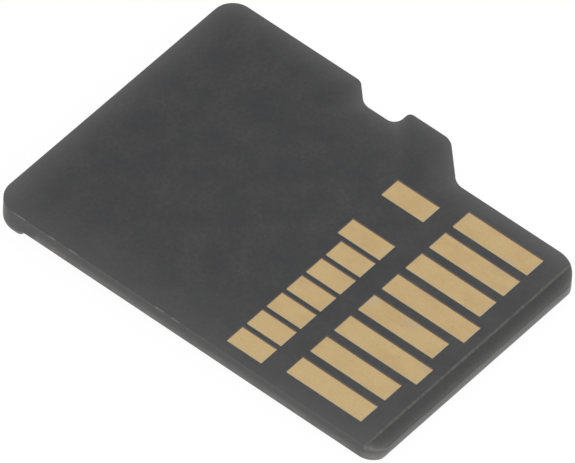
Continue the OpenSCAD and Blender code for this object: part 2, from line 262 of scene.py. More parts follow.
def weld(distance):
    """Merges vertices of the open piece that lie this near to each other."""
    select_whole()
    bpy.ops.mesh.remove_doubles(threshold=distance)


def face_outwards():
    """Turns every face of the open piece outwards."""
    select_whole()
    bpy.ops.mesh.normals_make_consistent(inside=False)


def trace(name, points):
    """A flat face drawn by pulling one vertex from corner to corner."""
    deselect()
    bpy.ops.mesh.primitive_plane_add(size=1, location=points[0])
    piece = bpy.context.object
    piece.name = name
    piece.data.name = name
    bpy.ops.object.transform_apply(location=True)
    bpy.ops.object.mode_set(mode="EDIT")
    bpy.ops.mesh.select_mode(type="VERT")
    select_whole()
    bpy.ops.mesh.merge(type="CENTER")
    for last, point in zip(points, points[1:]):
        bpy.ops.mesh.extrude_vertices_move(TRANSFORM_OT_translate={"value": point - last})
    select_whole()
    bpy.ops.mesh.edge_face_add()
    face_outwards()
    return piece


def round_corner(point, tangent, steps):
    """Rounds the corner at a point, from a given distance before it to the same distance past it."""
    found = pick("VERT", lambda v: (v.co - point).length < TINY)
    if found != 1:
        raise RuntimeError(f"{found} corners at {tuple(point)}")
    bpy.ops.mesh.bevel(offset=tangent, segments=steps, profile=0.5, affect="VERTICES")


def pull_up(height):
    """Gives the drawn face its thickness."""
    bpy.ops.mesh.select_mode(type="FACE")
    select_whole()
    bpy.ops.mesh.extrude_region_move(TRANSFORM_OT_translate={"value": UP * height})
    face_outwards()


def round_edges(test, radius, steps):
    """Rounds the edges that pass a test."""
    if not pick("EDGE", test):
        raise RuntimeError("no edge to round")
    bpy.ops.mesh.bevel(offset=radius, segments=steps, profile=0.5, affect="EDGES")


def slice_off(point, normal):
    """Cuts away what lies beyond a plane and closes the cut."""
    select_whole()
    bpy.ops.mesh.bisect(
        plane_co=point, plane_no=normal, use_fill=True, clear_outer=True, threshold=CUT_GAP)


def score(point, normal):
    """Adds a row of vertices where a plane crosses the piece."""
    select_whole()
    bpy.ops.mesh.bisect(plane_co=point, plane_no=normal, threshold=CUT_GAP)


def apply_all(piece):
    """Applies every modifier of a piece."""
    choose(piece)
    for name in [modifier.name for modifier in piece.modifiers]:
        bpy.ops.object.modifier_apply(modifier=name)


def combine(piece, other, operation):
    """Joins another piece to this one, cuts it out, or keeps what they share."""
    modifier = piece.modifiers.new("Boolean", "BOOLEAN")
    modifier.operation = operation
    modifier.solver = "EXACT"
    modifier.object = other
    apply_all(piece)
    bpy.data.meshes.remove(other.data)
    edit(piece)
    weld(TINY / 10)
    leave_edit()


def smooth(piece):
    """Smooth shading that leaves flat faces flat."""
    choose(piece)
    bpy.ops.object.shade_smooth_by_angle(angle=SMOOTH_ANGLE)
    weighted = piece.modifiers.new("Weighted Normal", "WEIGHTED_NORMAL")
    weighted.keep_sharp = True
    apply_all(piece)


def finish_piece(piece, material, slot, *nodes):
    """Brings a piece from millimetres to metres, dresses it and puts it in place of CAD nodes."""
    smooth(piece)
    piece.scale = (MM, MM, MM)
    bpy.ops.object.transform_apply(scale=True)
    piece.data.materials.clear()
    piece.data.materials.append(material)
    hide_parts(*nodes)
    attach(piece, BODY)


def mark(piece, name, rule):
    """Keeps a number on every vertex of a piece, worked out from its place."""
    numbers = piece.data.attributes.new(name, "FLOAT", "POINT")
    for vertex, number in zip(piece.data.vertices, numbers.data):
        number.value = rule(vertex.co)


def outward(place, low, high, radius):
    """Direction from a rounded rectangle's inside to a point near its outline."""
    inner = Vector((min(max(place.x, low.x + radius), high.x - radius),
                    min(max(place.y, low.y + radius), high.y - radius)))
    return (place.xy - inner).normalized()


def outline_corners(outline):
    """The outline's sharp corners and the round of each, in millimetres, anticlockwise."""
    low, high = cad_box("moulded_body")
    narrow_x = low.x + outline.narrow_w / MM
    ear_y = low.y + outline.ear_front_y / MM
    ear_foot_y = ear_y - (high.x - narrow_x)
    notch_y = low.y + outline.ear_back_y / MM
    notch_x = high.x - outline.notch_d / MM
    slant_y = notch_y + outline.notch_floor_l / MM
    wide_y = slant_y + outline.notch_d / MM
    corners = [
        (low.x, low.y, outline.front_straight_r),
        (narrow_x, low.y, outline.front_narrow_r),
        (narrow_x, ear_foot_y, outline.ear_foot_r),
        (high.x, ear_y, outline.ear_front_r),
        (high.x, notch_y, outline.ear_back_r),
        (notch_x, notch_y, outline.notch_ear_r),
        (notch_x, slant_y, outline.notch_slant_r),
        (high.x, wide_y, outline.notch_out_r),
        (high.x, high.y, outline.back_wide_r),
        (low.x, high.y, outline.back_straight_r),
    ]
    return [(Vector((x, y, 0)), radius / MM) for x, y, radius in corners]


def card_blank(name, outline, bottom, top):
    """A plate with the card's outline, between two heights."""
    corners = outline_corners(outline)
    lift = UP * bottom
    points = [corner + lift for corner, radius in corners]
    piece = trace(name, points)
    for k, (corner, radius) in enumerate(corners):
        to_next = corners[(k + 1) % len(corners)][0] - corner
        to_last = corners[k - 1][0] - corner
        tangent = radius / math.tan(to_next.angle(to_last) / 2)
        round_corner(points[k], tangent, outline.corner_steps)
    pull_up(top - bottom)
    return piece


def cut_bevel(edges):
    """Cuts the bevel that lets the card enter its socket."""
    low, high = cad_box("moulded_body", "solder_mask")
    length, depth = edges.bevel_l / MM, edges.bevel_d / MM
    slice_off(Vector((0, low.y + length, high.z)), Vector((0, -depth, length)))


def underside(edges):
    """Height of the label side, away from the lip."""
    return cad_box("solder_mask")[1].z - edges.card_t / MM


def round_nose(edges):
    """Rounds the contact end's lower edge by a run of cuts that touch the round."""
    radius = edges.nose_r / MM
    front_y = cad_box("moulded_body")[0].y
    centre = Vector((0, front_y + radius, underside(edges) + radius))
    steps = 2 * edges.round_steps
    for k in range(steps):
        turn = QUARTER * (k + 0.5) / steps
        normal = Vector((0, -math.cos(turn), -math.sin(turn)))
        slice_off(centre + normal * radius, normal)


def lip_slope(edges):
    """The centre of the lip's front line, and the slope's rows: distance from that centre, height."""
    low, high = cad_box("moulded_body")
    step_down = underside(edges) - low.z
    outer = edges.lip_arc_r / MM
    slope_l = edges.lip_slope_l / MM
    sweep = 2 * math.atan(step_down / slope_l)
    slope_r = slope_l / (2 * math.sin(sweep))
    inner = outer - slope_l
    steps = 2 * edges.round_steps
    turns = [sweep * k / steps for k in range(steps + 1)]
    down = [(inner + slope_r * math.sin(t), slope_r * (1 - math.cos(t))) for t in turns]
    up = [(outer + inner - r, step_down - z) for r, z in reversed(down[:-1])]
    return Vector((0, high.y - edges.lip_w / MM + outer, 0)), down + up


def lip_turning(edges):
    """The lip's section turned about the centre of its front line."""
    low, high = cad_box("moulded_body")
    axis, slope = lip_slope(edges)
    inner, outer = slope[0][0], slope[-1][0]
    root = outer - 2 * edges.lip_w / MM
    top = high.z - low.z - SUNK
    section = [(root, top), (root, -SUNK), (inner, -SUNK), (inner, -TINY), *slope[1:-1],
               (outer, slope[-1][1] + TINY), (outer, top)]
    half = LIP_SPARE * math.asin((high.x - low.x) / 2 / root)
    start = Matrix.Rotation(half, 3, "Z")
    piece = trace("lip_turning", [axis + start @ Vector((0, -r, low.z + z)) for r, z in section])
    select_whole()
    bpy.ops.mesh.spin(steps=LIP_TURNS, angle=2 * half, center=axis, axis=UP)
    weld(TINY)
    face_outwards()
    leave_edit()
    return piece


def ease_lip_ends(body, edges):
    """Lets the label side's edge round grow into the lip's along both ends of the slope."""
    low, high = cad_box("moulded_body")
    axis, slope = lip_slope(edges)
    thin, thick = edges.label_edge_r / MM, edges.lip_edge_r / MM
    step_down = slope[-1][1]
    edit(body)
    for distance, _ in slope:
        score(ALONG * (axis.y - math.sqrt(distance ** 2 - high.x ** 2)), ALONG)
    for k in range(edges.round_steps + 1):
        turn = QUARTER * k / edges.round_steps
        score(UP * (low.z + step_down + thin * (1 - math.cos(turn))), UP)
    leave_edit()
    for vertex in body.data.vertices:
        place = vertex.co
        distance = (place.xy - axis.xy).length
        if abs(place.x) < high.x - thick or not slope[0][0] <= distance <= slope[-1][0] + TINY:
            continue
        bottom = next(z0 + (z1 - z0) * (distance - r0) / (r1 - r0) for (r0, z0), (r1, z1)
                      in zip(slope, slope[1:]) if distance <= r1 + TINY)
        radius = thick + (thin - thick) * bottom / step_down
        under = max(low.z + bottom + radius - place.z, 0)
        limit = high.x - radius + math.sqrt(max(radius ** 2 - under ** 2, 0))
        if abs(place.x) > limit:
            place.x = math.copysign(limit, place.x)
    edit(body)
    weld(4 * TINY)
    leave_edit()


def make_lip(outline, edges):
    """The grip lip, down to the plane that it touches."""
    low, high = cad_box("moulded_body")
    lip = card_blank("lip", outline, low.z, high.z - SUNK)
    front_y = high.y - 2 * edges.lip_w / MM
    slice_off(ALONG * front_y, -ALONG)
    round_edges(
        lambda e: is_level(e, low.z) and middle(e).y > front_y + TINY,
        edges.lip_edge_r / MM, edges.round_steps)
    leave_edit()
    combine(lip, lip_turning(edges), "INTERSECT")
    return lip


def make_mould(outline, edges):
    """The moulded body: a rounded slab with the lip under its grip end."""
    below = underside(edges)
    body = card_blank("mould_skin", outline, below, cad_box("moulded_body")[1].z)
    round_edges(lambda e: is_level(e, below), edges.label_edge_r / MM, edges.round_steps)
    round_nose(edges)
    cut_bevel(edges)
    leave_edit()
    combine(body, make_lip(outline, edges), "UNION")
    ease_lip_ends(body, edges)
    return body


def make_plate(name, outline, edges, cad_name):
    """A thin plate with the card's outline and bevel, at a CAD node's heights."""
    low, high = cad_box(cad_name)
    plate = card_blank(name, outline, low.z, high.z)
    cut_bevel(edges)
    leave_edit()
    return plate


def rounded_block(name, low, high, edges):
    """A block with rounded upright edges."""
    corners = [Vector((x, y, low.z)) for x, y in
               ((low.x, low.y), (high.x, low.y), (high.x, high.y), (low.x, high.y))]
    block = trace(name, corners)
    for corner in corners:
        round_corner(corner, edges.contact_corner_r / MM, edges.round_steps)
    pull_up(high.z - low.z)
    return block


def window_cutters(edges):
    """One rounded block for each contact, to cut the mask's windows."""
    blocks = []
    spare = UP * SUNK / 2
    for name in CONTACTS:
        low, high = cad_box(name)
        blocks.append(rounded_block("window", low - spare, high + spare, edges))
        leave_edit()
    deselect()
    for block in blocks:
        block.select_set(True)
    bpy.context.view_layer.objects.active = blocks[0]
    bpy.ops.object.join()
    return blocks[0]


def make_mask(outline, edges):
    """The solder mask, with a window for each contact."""
    mask = make_plate("mask_film", outline, edges, "solder_mask")
    combine(mask, window_cutters(edges), "DIFFERENCE")
    edit(mask)
    top = cad_box("solder_mask")[1].z
    boxes = [cad_box(name) for name in CONTACTS]
    ring = edges.window_edge_r / MM

    def window_at(place, reach):
        """Corners of the window whose edge is within reach of a place, if there is one."""
        for low, high in boxes:
            if low.x - reach < place.x < high.x + reach and low.y - reach < place.y < high.y + reach:
                return low, high
        return None

    def on_top_edge(edge):
        return is_level(edge, top) and edge.calc_face_angle(0) > SHARP

    round_edges(lambda e: on_top_edge(e) and window_at(middle(e), TINY), ring, MASK_STEPS)
    round_edges(lambda e: on_top_edge(e) and not window_at(middle(e), 2 * ring),
                edges.cut_edge_r / MM, MASK_STEPS)
    leave_edit()

    def painted_window_shade(place):
        """Up to 1 on a window's edge beside the brown rims of its contact, where brown shade is painted, 0
        elsewhere.
        """
        window = window_at(place, ring)
        if not window or place.z > top - TINY:
            return 0
        out = outward(place, *window, edges.contact_corner_r / MM)
        return min(max(out.x + BACK_SHARE * out.y, 0), 1)

    mark(mask, "painted_window_shade", painted_window_shade)
    return mask


def make_contact(name, cad_name, edges):
    """One gold-plated contact with a rounded upper edge and a rim that carries its painted highlight and
    painted shade.
    """
    low, high = cad_box(cad_name)
    contact = rounded_block(name, low, high, edges)
    round_edges(lambda e: is_level(e, high.z), edges.contact_edge_r / MM, CONTACT_STEPS)
    rim_w = (edges.contact_edge_r + edges.contact_rim_w) / MM
    for corner, sign in ((low, 1), (high, -1)):
        for axis in (ACROSS, ALONG):
            score(corner + axis * sign * rim_w, axis)
    leave_edit()

    def rim(place):
        """Above 0 on the pale rims with painted highlight, below 0 on the brown rims with painted shade, 0
        inside.
        """
        inside = min(place.x - low.x, high.x - place.x, place.y - low.y, high.y - place.y)
        if inside > rim_w - TINY:
            return 0
        out = outward(place, low, high, max(edges.contact_corner_r / MM, inside + TINY))
        return -out.x - out.y * (BACK_SHARE if out.y > 0 else 1)

    mark(contact, "rim", rim)
    return contact


def node(tree, kind, inputs=None, **settings):
    """Adds a shader node, with a link or a plain value for each input given."""
    made = tree.nodes.new("ShaderNode" + kind)
    for name, value in settings.items():
        setattr(made, name, value)
    for socket, value in (inputs or {}).items():
        if isinstance(value, bpy.types.NodeSocket):
            tree.links.new(value, made.inputs[socket])
        else:
            made.inputs[socket].default_value = value
    return made


def maths(tree, operation, *values):
    """The result of a sum on numbers or sockets."""
    return node(tree, "Math", dict(enumerate(values)), operation=operation).outputs[0]


def product(tree, first, *others):
    """Numbers or sockets multiplied."""
    for other in others:
        first = maths(tree, "MULTIPLY", first, other)
    return first


def ease(tree, value, start, end, low=0, high=1):
    """Goes smoothly from low to high while the value goes from start to end."""
    return node(tree, "MapRange", {
        "Value": value, "From Min": start, "From Max": end, "To Min": low, "To Max": high,
    }, interpolation_type="SMOOTHSTEP").outputs["Result"]


def fade(tree, distance, reach, strength):
    """Falls away with distance, to about a third at its reach."""
    return product(tree, maths(tree, "EXPONENT", maths(tree, "DIVIDE", distance, -reach)), strength)


def mixed(tree, share, first, second):
    """Two colours mixed, each a socket or red, green and blue."""
    colours = [c if isinstance(c, bpy.types.NodeSocket) else (*c, 1) for c in (first, second)]
    return node(tree, "Mix", {0: share, 6: colours[0], 7: colours[1]}, data_type="RGBA").outputs[2]


def shaded(tree, colour, shade):
    """A colour made lighter or darker by a number."""
    return node(tree, "VectorMath", {0: colour, "Scale": shade}, operation="SCALE").outputs[0]


def place_in_mm(tree):
    """Place on the object, in millimetres."""
    place = node(tree, "TexCoord").outputs["Object"]
    return node(tree, "VectorMath", {0: place, "Scale": 1 / MM}, operation="SCALE").outputs[0]


def place_along(tree, axis):
    """Place along X, Y or Z, in millimetres."""
    return node(tree, "SeparateXYZ", {0: place_in_mm(tree)}).outputs[axis]


def new_effect(name, inputs, outputs):
    """An empty shader node group with named number sockets."""
    group = bpy.data.node_groups.new(name, "ShaderNodeTree")
    for label, value in inputs.items():
        socket = group.interface.new_socket(name=label, in_out="INPUT", socket_type="NodeSocketFloat")
        socket.default_value = value
    for label in outputs:
        group.interface.new_socket(name=label, in_out="OUTPUT", socket_type="NodeSocketFloat")
    given = group.nodes.new("NodeGroupInput").outputs
    result = group.nodes.new("NodeGroupOutput").inputs
    return group, given, result


def use(tree, effect, **values):
    """Places an effect in a material, with its own values."""
    group = bpy.data.node_groups.get(effect) or EFFECTS[effect](effect)
    return node(tree, "Group", values, node_tree=group).outputs


def grain_effect(name):
    """Fine grain of a moulded or coated surface: a shade about 1 and a height."""
    group, given, result = new_effect(name, {"Size": 0.05, "Amount": 0.1}, ("Shade", "Height"))
    speckle = node(group, "TexNoise", {
        "Vector": place_in_mm(group), "Scale": maths(group, "DIVIDE", 1, given["Size"]),
        "Detail": 4, "Roughness": 0.6}).outputs["Fac"]
    swing = maths(group, "MULTIPLY", maths(group, "SUBTRACT", speckle, 0.5), 2)
    shade = maths(group, "MULTIPLY_ADD", swing, given["Amount"], 1)
    group.links.new(shade, result["Shade"])
    group.links.new(speckle, result["Height"])
    return group


def patches_effect(name):
    """Soft uneven patches, from 0 to 1."""
    group, given, result = new_effect(name, {"Size": 1, "Stretch": 1, "Seed": 0}, ("Patch",))
    apart = node(group, "SeparateXYZ", {0: place_in_mm(group)})
    along = maths(group, "DIVIDE", apart.outputs["Y"], given["Stretch"])
    deep = maths(group, "SUBTRACT", apart.outputs["Z"], cad_box("solder_mask")[1].z)
    layer = maths(group, "ADD", deep, given["Seed"])
    place = node(group, "CombineXYZ", {"X": apart.outputs["X"], "Y": along, "Z": layer})
    cloud = node(group, "TexNoise", {
        "Vector": place.outputs[0], "Scale": maths(group, "DIVIDE", 1, given["Size"]),
        "Detail": 2, "Roughness": 0.5}).outputs["Fac"]
    group.links.new(ease(group, cloud, 0.3, 0.7), result["Patch"])
    return group


def specks_effect(name):
    """Small round marks, scattered."""
    group, given, result = new_effect(name, {"Size": 0.1, "Share": 0.1, "Seed": 0}, ("Speck",))
    lift = node(group, "CombineXYZ", {"Z": given["Seed"]}).outputs[0]
    place = node(group, "VectorMath", {0: place_in_mm(group), 1: lift}, operation="ADD").outputs[0]
    cells = node(group, "TexVoronoi", {
        "Vector": place, "Scale": maths(group, "DIVIDE", 1, given["Size"])})
    chance = node(group, "SeparateColor", {0: cells.outputs["Color"]}).outputs[0]
    kept = maths(group, "LESS_THAN", chance, given["Share"])
    spot = ease(group, cells.outputs["Distance"], 0.5, 0.2)
    group.links.new(maths(group, "MULTIPLY", kept, spot), result["Speck"])
    return group


def scuffs_effect(name):
    """Streaks along the card: scratches or dashes, as their width and length make them."""
    group, given, result = new_effect(name, {"Width": 0.02, "Length": 1, "Share": 0.1}, ("Scuff",))
    apart = node(group, "SeparateXYZ", {0: place_in_mm(group)})
    place = node(group, "CombineXYZ", {
        "X": maths(group, "DIVIDE", apart.outputs["X"], given["Width"]),
        "Y": maths(group, "DIVIDE", apart.outputs["Y"], given["Length"])}).outputs[0]
    lines = node(group, "TexNoise", {"Vector": place, "Scale": 1, "Detail": 1}).outputs["Fac"]
    edge = maths(group, "MULTIPLY_ADD", given["Share"], -0.4, 0.75)
    group.links.new(ease(group, lines, edge, maths(group, "ADD", edge, 0.1)), result["Scuff"])
    return group


def rim_effect(name):
    """How far inside the card's sides and ends a place is, in millimetres."""
    group, _, result = new_effect(name, {}, ("Notched side", "Straight side", "Contact end"))
    outline = bpy.context.scene.card_outline
    corners = [corner for corner, radius in outline_corners(outline)]
    place = place_in_mm(group)

    def inwards(k):
        start, end = corners[k], corners[(k + 1) % len(corners)]
        normal = UP.cross(end - start).normalized()
        along = node(group, "VectorMath", {0: place, 1: normal}, operation="DOT_PRODUCT")
        return maths(group, "SUBTRACT", along.outputs["Value"], normal.dot(start))

    def rounded(first, second, radius):
        return maths(group, "SMOOTH_MIN", first, second, CORNER_EASE * radius / MM)

    # The side behind the notch, number 7, lies on the ear's line.
    front, narrow, slant, ear, notch_side, notch_floor, notch_slant, back, left = (
        inwards(k) for k in range(10) if k != 7)
    ear_foot = maths(group, "MAXIMUM", narrow, slant)
    notch = maths(group, "MAXIMUM", maths(group, "MAXIMUM", notch_side, notch_floor), notch_slant)
    right = maths(group, "MINIMUM", maths(group, "MINIMUM", ear_foot, notch), ear)
    straight_end = rounded(front, left, outline.front_straight_r)
    group.links.new(rounded(right, back, outline.back_wide_r), result["Notched side"])
    group.links.new(left, result["Straight side"])
    group.links.new(rounded(straight_end, narrow, outline.front_narrow_r), result["Contact end"])
    return group


EFFECTS = {"Grain": grain_effect, "Patches": patches_effect, "Specks": specks_effect,
           "Scuffs": scuffs_effect, "Rim": rim_effect}


def new_material(name, roughness=0.5, metallic=0.0):
    """An opaque material and its tree."""
    material = bpy.data.materials.new(name)
    material.use_nodes = True
    shader = material.node_tree.nodes["Principled BSDF"]
    shader.inputs["Roughness"].default_value = roughness
    shader.inputs["Metallic"].default_value = metallic
    return material, material.node_tree


def dress(tree, colour, grain, depth, roughness=None, metallic=None):
    """Feeds the shader its colour, the grain's relief, in millimetres, and its gloss."""
    shader = tree.nodes["Principled BSDF"].inputs
    tree.links.new(colour, shader["Base Color"])
    bump = node(tree, "Bump", {"Height": grain["Height"], "Strength": 1, "Distance": depth * MM})
    tree.links.new(bump.outputs["Normal"], shader["Normal"])
    if roughness:
        tree.links.new(roughness, shader["Roughness"])
    if metallic:
        tree.links.new(metallic, shader["Metallic"])


def front_line():
    """Where the card's contact end lies, in millimetres."""
    return cad_box("solder_mask", "moulded_body")[0].y


def on_bevel(tree, edges):
    """1 on the bevel at the contact end, 0 behind it."""
    behind = front_line() + edges.bevel_l / MM
    return ease(tree, place_along(tree, "Y"), behind + TINY, behind - TINY)


def faced_way(tree):
    """The direction in which the piece's plain surface faces."""
    return node(tree, "SeparateXYZ", {0: node(tree, "TexCoord").outputs["Normal"]}).outputs


def mould_material(edges, finish):
    """Black epoxy with a fine matte grain, painted paler along its lower edges and round the grip in place
    of the light that falls there.
    """
    material, tree = new_material("black_epoxy")
    grain = use(tree, "Grain", Size=0.06, Amount=0.3)
    patch = use(tree, "Patches", Size=0.5, Stretch=1.6)["Patch"]
    low, high = cad_box("moulded_body")
    below = underside(edges)
    height = place_along(tree, "Z")
    faces = faced_way(tree)
    # Painted light: the wall is painted paler downwards, to the lip's lower edge where the lip is, standing
    # in for the light that the lower walls catch.
    slope_end = high.y - (edges.lip_w - edges.lip_slope_l) / MM
    slope_start = slope_end - edges.lip_slope_l / MM
    drop = ease(tree, place_along(tree, "Y"), slope_start, slope_end, high=below - low.z)
    lower = ease(tree, maths(tree, "ADD", height, drop), high.z - 0.04, below + 0.14)
    # Painted light: faces towards the grip end are painted paler, as if lit from behind.
    grip = ease(tree, faces["Y"], 0.2, 0.9, high=0.9)
    # Painted light: at the contact end the forward-facing strip under the laminate is painted paler too.
    strip = ease(tree, height, high.z - 0.09, high.z - 0.02, high=0.4)
    nose = ease(tree, faces["Y"], -0.1, -0.32, high=strip)
    painted_light_share = maths(tree, "MAXIMUM", maths(tree, "MAXIMUM", lower, grip), nose)
    # The painted light leaves out faces that look down and is weaker on faces towards the contact end; the
    # patches make it uneven.
    share = product(
        tree, painted_light_share,
        ease(tree, faces["Z"], -0.98, -0.8),
        ease(tree, patch, 0, 1, low=0.65, high=1.2),
        ease(tree, faces["Y"], -0.3, -1, low=1, high=0.7))
    colour = mixed(tree, share, finish.mould_colour, finish.mould_painted_light_colour)
    dress(tree, shaded(tree, colour, grain["Shade"]), grain, 0.003,
          roughness=ease(tree, patch, 0, 1, low=0.5, high=0.53))
    return material


def laminate_material(edges, finish):
    """Cut glass-fibre laminate: dark resin with the pale ends of its fibres, painted paler near the contact
    end and on faces towards the grip end in place of light.
    """
    material, tree = new_material("cut_laminate", 0.6)
    grain = use(tree, "Grain", Size=0.05, Amount=0.4)
    fibres = use(tree, "Specks", Size=0.09, Share=0.35)["Speck"]
    rim = use(tree, "Rim")
    # Painted light: the core is painted paler near the contact end, as a glow along that edge.
    painted_edge_glow = fade(tree, rim["Contact end"], 0.115, 0.58)
    core = mixed(tree, painted_edge_glow, finish.core_colour, finish.wear_and_painted_light_colour)
    # Painted light: faces towards the grip end are painted paler.
    grip = ease(tree, faced_way(tree)["Y"], 0.2, 0.9, high=0.6)
    sawn = mixed(tree, grip, finish.sawn_colour, finish.wear_and_painted_light_colour)
    colour = mixed(tree, on_bevel(tree, edges), sawn, core)
    colour = mixed(tree, product(tree, fibres, 0.08), colour, finish.fibre_colour)
    dress(tree, shaded(tree, colour, grain["Shade"]), grain, 0.004)
    return material


def mask_material(edges, finish):
    """Black solder mask: mottled, painted paler towards the rim as a glow of light, with a pale line where
    the bevel cuts it.
    """
    material, tree = new_material("black_mask")
    grain = use(tree, "Grain", Size=0.12, Amount=0.9)
    patch = use(tree, "Patches", Size=1.1, Stretch=1)["Patch"]
    rim = use(tree, "Rim")
    scuff = use(tree, "Scuffs", Width=0.03, Length=1.4, Share=0.1)["Scuff"]
    dash = use(tree, "Scuffs", Width=0.3, Length=0.35, Share=0.55)["Scuff"]
    dust = use(tree, "Specks", Size=0.07, Share=0.12)["Speck"]
    along = place_along(tree, "Y")
    past_end = maths(tree, "SUBTRACT", along, front_line())
    colour = mixed(tree, patch, finish.mask_colour, finish.mask_patch_colour)
    colour = shaded(tree, colour, grain["Shade"])
    # Painted light: the mask is painted paler along its sides and from the contact end on, as a soft glow.
    painted_glow = maths(tree, "ADD", fade(tree, rim["Notched side"], 0.4, 0.48),
                 fade(tree, rim["Straight side"], 1, 0.21))
    painted_glow = maths(tree, "ADD", painted_glow, fade(tree, past_end, 5, 0.17))
    colour = mixed(tree, painted_glow, colour, finish.wear_and_painted_light_colour)
    colour = mixed(tree, product(tree, scuff, 0.05), colour, finish.wear_and_painted_light_colour)
    side = ease(tree, faced_way(tree)["Z"], 0.8, 0.3)
    colour = mixed(tree, side, colour, finish.sawn_colour)
    # The saw left chips along the straight side, hardly any near the contact end.
    sawn = ease(tree, rim["Straight side"], 0.035, 0.012)
    chips = maths(tree, "ADD", product(tree, dash, 0.3), product(tree, dust, 0.8))
    chips = product(tree, chips, ease(tree, along, -3, 0.5))
    chips = product(tree, sawn, maths(tree, "ADD", chips, 0.04))
    colour = mixed(tree, chips, colour, finish.chip_colour)
    # A wavering line, broken by the grain, follows the upper end of the bevel.
    line_y = (edges.bevel_l - edges.cut_line_w / 2) / MM
    off_line = maths(tree, "ABSOLUTE", maths(tree, "SUBTRACT", past_end, line_y))
    waver = maths(tree, "MULTIPLY_ADD", grain["Height"], 0.16, -0.075)
    line = ease(tree, maths(tree, "ADD", off_line, waver), edges.cut_line_w / MM, 0, low=0.15)
    broken = ease(tree, grain["Height"], 0.35, 0.65, low=1.15, high=0.5)
    colour = mixed(tree, product(tree, on_bevel(tree, edges), line, broken), colour, finish.cut_colour)
    # Painted shade: a brown edge on the windows' sides towards the notched side and the grip end.
    brown_painted_shade = node(tree, "Attribute", attribute_name="painted_window_shade").outputs["Fac"]
    colour = mixed(tree, brown_painted_shade, colour, finish.painted_shade_and_nick_colour)
    dress(tree, colour, grain, 0.001, roughness=ease(tree, patch, 0, 1, low=0.44, high=0.48))
    return material


def gold_material(finish):
    """Matte gold plating, with a painted highlight on the rims at its left and front and a painted brown
    shade on the two others.
    """
    material, tree = new_material("contact_gold", metallic=1.0)
    grain = use(tree, "Grain", Size=0.06, Amount=0.1)
    patch = use(tree, "Patches", Size=0.6, Stretch=2, Seed=3)["Patch"]
    # The contacts beside the straight side have no duller patches.
    patch = product(tree, patch, ease(tree, place_along(tree, "X"), -4.6, -3.2))
    smear = use(tree, "Specks", Size=0.9, Share=0.14, Seed=5)["Speck"]
    scuff = use(tree, "Scuffs", Width=0.03, Length=0.7, Share=0.1)["Scuff"]
    nick = use(tree, "Specks", Size=0.09, Share=0.004, Seed=8)["Speck"]
    rim = node(tree, "Attribute", attribute_name="rim").outputs["Fac"]
    colour = mixed(tree, patch, finish.gold_colour, finish.gold_patch_colour)
    # Smears, scuffs and nicks are real marks; the pale rims are a painted highlight, the brown rims a
    # painted shade.
    for share, marked in (
            (product(tree, smear, 0.35), finish.smear_colour),
            (product(tree, scuff, 0.2), finish.smear_colour),
            (product(tree, nick, 0.25), finish.painted_shade_and_nick_colour),
            (ease(tree, rim, 0, 0.6), finish.pale_gold_and_highlight_colour),
            (ease(tree, rim, -0.4, -1, high=0.8), finish.painted_shade_and_nick_colour)):
        colour = mixed(tree, share, colour, marked)
    dress(tree, shaded(tree, colour, grain["Shade"]), grain, 0.001,
          roughness=ease(tree, patch, 0, 1, low=0.42, high=0.5))
    return material


def silicon_material(finish):
    """A die: smooth grey silicon with the paler blocks and rows of its circuit."""
    material, tree = new_material("silicon", 0.25)
    grain = use(tree, "Grain", Size=0.3, Amount=0.08)
    block = node(tree, "TexBrick", {
        "Vector": place_in_mm(tree), "Scale": 1, "Color1": (*finish.silicon_colour, 1),
        "Color2": (*finish.circuit_colour, 1), "Mortar": (*finish.silicon_colour, 1), "Mortar Size": 0.03,
        "Brick Width": 1.3, "Row Height": 0.45}).outputs["Color"]
    dress(tree, shaded(tree, block, grain["Shade"]), grain, 0.0005)
    return material


def film_material(finish):
    """Amber adhesive film with a faint cloudiness."""
    material, tree = new_material("die_film", 0.4)
    cloud = use(tree, "Patches", Size=0.9, Stretch=1, Seed=11)["Patch"]
    grain = use(tree, "Grain", Size=0.05, Amount=0.15)
    shade = product(tree, grain["Shade"], ease(tree, cloud, 0, 1, low=0.85, high=1.1))
    dress(tree, shaded(tree, finish.film_colour, shade), grain, 0.001)
    return material


def capacitor_material(name, finish):
    """A capacitor's speckled ceramic and its tinned ends."""
    material, tree = new_material("ceramic_" + name, 0.45)
    low, high = cad_box(name)
    off_middle = maths(tree, "SUBTRACT", place_along(tree, "X"), (low.x + high.x) / 2)
    off_middle = maths(tree, "ABSOLUTE", off_middle)
    cap = maths(tree, "GREATER_THAN", off_middle, (high.x - low.x) / 2 - CAP_END_L - TINY)
    grain = use(tree, "Grain", Size=0.03, Amount=0.2)
    colour = mixed(tree, cap, finish.ceramic_colour, finish.cap_colour)
    dress(tree, shaded(tree, colour, grain["Shade"]), grain, 0.002, metallic=cap)
    return material


def wire_material(finish):
    """Drawn gold wire and plated fingers, slightly uneven."""
    material, tree = new_material("bond_gold", 0.3, 1.0)
    grain = use(tree, "Grain", Size=0.02, Amount=0.15)
    scuff = use(tree, "Scuffs", Width=0.01, Length=0.3, Share=0.3)["Scuff"]
    colour = mixed(tree, product(tree, scuff, 0.4), finish.wire_colour, finish.pale_gold_and_highlight_colour)
    dress(tree, shaded(tree, colour, grain["Shade"]), grain, 0.0005)
    return material


def dress_node(name, material):
    """Gives a CAD node, which keeps its own shape, a material."""
    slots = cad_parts[name].material_slots
    for slot in slots:
        slot.material = material
    if not slots:
        raise RuntimeError(f"{name} has no material slot")


